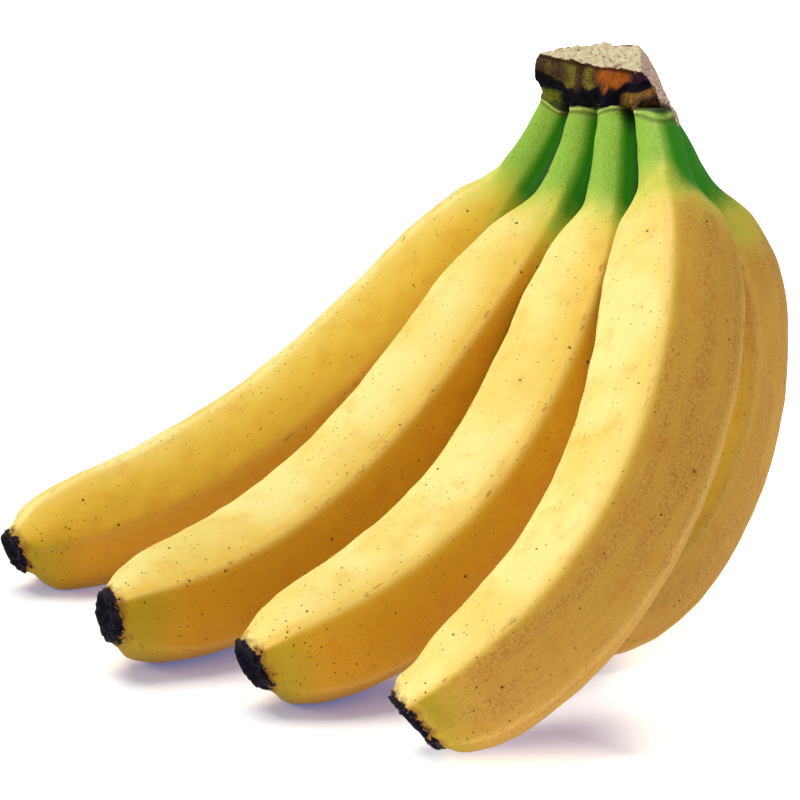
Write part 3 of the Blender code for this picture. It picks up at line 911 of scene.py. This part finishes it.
def crown_zones(place, normal):
    """How much each point belongs to the cut top, the strip, the underside that gets a painted shadow,
    the edge and the scar.
    """
    nose = np.array(CROWN_CORNERS[0][0])
    top = CROWN_TOP_HEIGHT + (place[:, :2] - nose) @ np.array(CROWN_TOP_RISE)
    cut = fade(normal[:, 2], 0.75, 0.92) * fade(place[:, 2], top - 1.2, top - 0.4)
    front_height, front_x = np.array(STRIP_FRONT).T
    strip = fade(place[:, 0] - np.interp(place[:, 2], front_height, front_x), -0.15, 0.25)

    low = crown_block_rings()[2]
    centre = low.mean(axis=0)
    low_angle = np.arctan2(low[:, 1] - centre[1], low[:, 0] - centre[0])
    order = np.argsort(low_angle)
    angle = np.arctan2(place[:, 1] - centre[1], place[:, 0] - centre[0])
    edge_height = np.interp(angle, low_angle[order], low[order, 2], period=2 * math.pi)
    ragged = bumps(place, 0.5, 3.0, 36)
    edge_height += np.interp(place[:, 0], (-23.0, -10.0), (0.3, 2.2))
    painted_shadow_below = fade(place[:, 2] + ragged, edge_height + 0.5, edge_height - 0.5) * (1 - strip)
    edge = fade(place[:, 2], top - 1.6, top - 0.9) * (1 - cut) * (1 - strip)
    scar = cut * np.exp(-(np.linalg.norm(place[:, :2] - SCAR, axis=1) / SCAR_WIDTH) ** 2)
    return SimpleNamespace(cut=cut, strip=strip, painted_shadow_below=painted_shadow_below, edge=edge, scar=scar, ragged=ragged,
                           edge_height=edge_height)


def roughen_crown(place, normal, zones):
    """The crown's points with fibres standing up on the cut top and lumps on its sides."""
    sides = bumps(place, 0.22, 2.4, 31) + bumps(place, 0.12, 1.1, 32) + 0.6 * bumps(place, 0.35, 6.0, 33)
    move = zones.cut * (bumps(place, 0.30, 2.0, 34) + bumps(place, 0.2, 1.0, 35))
    move -= 0.35 * zones.cut + 0.8 * zones.scar
    move += (1 - zones.cut) * sides
    move *= 1 - 0.5 * zones.strip
    return place + normal * move[:, None]


def write_crown_looks(mesh, place, zones):
    """Store what the crown's material reads at each point."""
    x, y, height = place.T
    x = x + bumps(place, 0.8, 5.0, 37)
    olive = sum(amount * np.exp(-((x - middle) / width) ** 2) for middle, width, amount in OLIVE_PATCHES)
    orange = fade(x, -6.0, -3.5) * fade(x, 4.5, 2.0)
    front = fade(y, 0, -6)
    first_neck = np.linalg.norm(place[:, :2] - np.array(BANANAS[0]["root"]) - (-3.0, 0.0), axis=1)
    last_neck = np.linalg.norm(place[:, :2] - np.array(BANANAS[SLANTED - 1]["root"]), axis=1)
    below = fade(height, zones.edge_height - 1.9, zones.edge_height - 2.6)
    write_values(mesh, "place", place)
    write_values(mesh, "cut", zones.cut)
    write_values(mesh, "strip", zones.strip)
    write_values(mesh, "painted_shadow_below", zones.painted_shadow_below)
    write_values(mesh, "edge", zones.edge)
    write_values(mesh, "scar", zones.scar * 0.85)
    write_values(mesh, "olive", np.clip(olive, 0, 1) * (1 - zones.cut) * fade(y, 25, 5))
    write_values(mesh, "plum", fade(x, 2.0, 5.0) * front)
    write_values(mesh, "orange", orange * front)
    write_values(mesh, "green", fade(first_neck, 8.5, 4.0) * zones.painted_shadow_below * fade(height, 153.0, 151.5))
    write_values(mesh, "ochre", fade(last_neck + 0.7 * zones.ragged, 8.0, 5.5) * below)


def build_crown(material):
    """The crown, with its cut top, bruised sides and torn strip roughened by given rules."""
    rough = fused_crown_mesh()
    place = read_vectors(rough.vertices, "co")
    normal = read_vectors(rough.vertex_normals, "vector")
    zones = crown_zones(place, normal)
    place = roughen_crown(place, normal, zones)
    faces = [tuple(face.vertices) for face in rough.polygons]
    piece = new_piece("crown_rind", to_row(place), faces, material, ["crown"])
    bpy.data.meshes.remove(rough)
    write_crown_looks(piece.data, place, zones)


def build_floor():
    """A pale floor, much wider than the camera's view, that glows with painted light."""
    mesh = bpy.data.meshes.new("floor")
    corners = [(x * FLOOR_HALF, y * FLOOR_HALF, 0) for x, y in ((-1, -1), (1, -1), (1, 1), (-1, 1))]
    mesh.from_pydata(corners, [], [(0, 1, 2, 3)])
    floor = bpy.data.objects.new("floor", mesh)
    bpy.context.scene.collection.objects.link(floor)
    graph = Graph("floor_white")
    graph.shader.inputs["Base Color"].default_value = (0.92, 0.90, 0.80, 1.0)
    graph.shader.inputs["Roughness"].default_value = 0.8
    graph.shader.inputs["Specular IOR Level"].default_value = 0.1
    # Painted light: the paper glows faintly lavender under the hand, which lightens and tints its
    # shadow, and brighter beyond the hand, which washes out the shadow there.
    to_right, to_back = graph.across_floor()
    painted_light_beyond = graph.math("MAXIMUM", graph.fade(to_right, *PAINTED_LIGHT_TO_RIGHT),
                       graph.fade(to_back, *PAINTED_LIGHT_TO_FRONT))
    painted_glow = graph.mix(painted_light_beyond, (0.10, 0.20, 0.62), (1.0, 1.0, 1.0))
    graph.put(graph.shader.inputs["Emission Color"], painted_glow)
    strength = graph.math("MULTIPLY_ADD", painted_light_beyond, 0.42, 0.44)
    graph.put(graph.shader.inputs["Emission Strength"], strength)
    mesh.materials.append(graph.material)
    floor.visible_glossy = False


def add_sun(name, strength, colour, towards, spread):
    lamp = bpy.data.lights.new(name, "SUN")
    lamp.energy = strength
    lamp.color = colour
    lamp.angle = math.radians(spread)
    item = bpy.data.objects.new(name, lamp)
    item.rotation_mode = "QUATERNION"
    item.rotation_quaternion = Vector(towards).to_track_quat("-Z", "Y")
    bpy.context.scene.collection.objects.link(item)


def build_light():
    """A broad soft light overhead, from the left and a little behind, in a dim warm room."""
    world = bpy.data.worlds.new("studio")
    world.use_nodes = True
    sky = world.node_tree.nodes["Background"]
    sky.inputs["Color"].default_value = (1.0, 0.92, 0.76, 1.0)
    sky.inputs["Strength"].default_value = 0.40
    bpy.context.scene.world = world
    add_sun("key", 2.25, (1.0, 0.99, 0.95), (0.34, -0.12, -0.93), 34.0)
    add_sun("side", 0.7, (1.0, 1.0, 0.92), (0.92, -0.05, -0.38), 16.0)
    bpy.context.scene.view_settings.view_transform = "Standard"


def build_camera():
    camera = bpy.data.cameras.new("camera")
    camera.sensor_width = SENSOR_WIDTH
    camera.lens = FOCAL_PIXELS / FRAME_PIXELS * SENSOR_WIDTH
    camera.clip_start = 0.01
    item = bpy.data.objects.new("camera", camera)
    place = Vector(to_row(CAMERA_PLACE))
    target = Vector(to_row(CAMERA_TARGET))
    item.location = place
    item.rotation_mode = "QUATERNION"
    item.rotation_quaternion = (target - place).to_track_quat("-Z", "Y")
    bpy.context.scene.collection.objects.link(item)
    bpy.context.scene.camera = item


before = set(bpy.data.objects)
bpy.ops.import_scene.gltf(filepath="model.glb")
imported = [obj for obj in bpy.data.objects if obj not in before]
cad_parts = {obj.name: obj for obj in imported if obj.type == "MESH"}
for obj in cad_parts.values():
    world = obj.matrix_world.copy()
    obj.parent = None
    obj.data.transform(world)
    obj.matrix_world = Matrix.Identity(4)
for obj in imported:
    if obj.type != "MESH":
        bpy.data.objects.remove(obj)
cad_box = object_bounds()
peel = skin_material()
rind = crown_material()
for number, banana in enumerate(BANANAS, 1):
    build_banana(number, banana, peel)
build_crown(rind)
build_floor()
build_light()
build_camera()
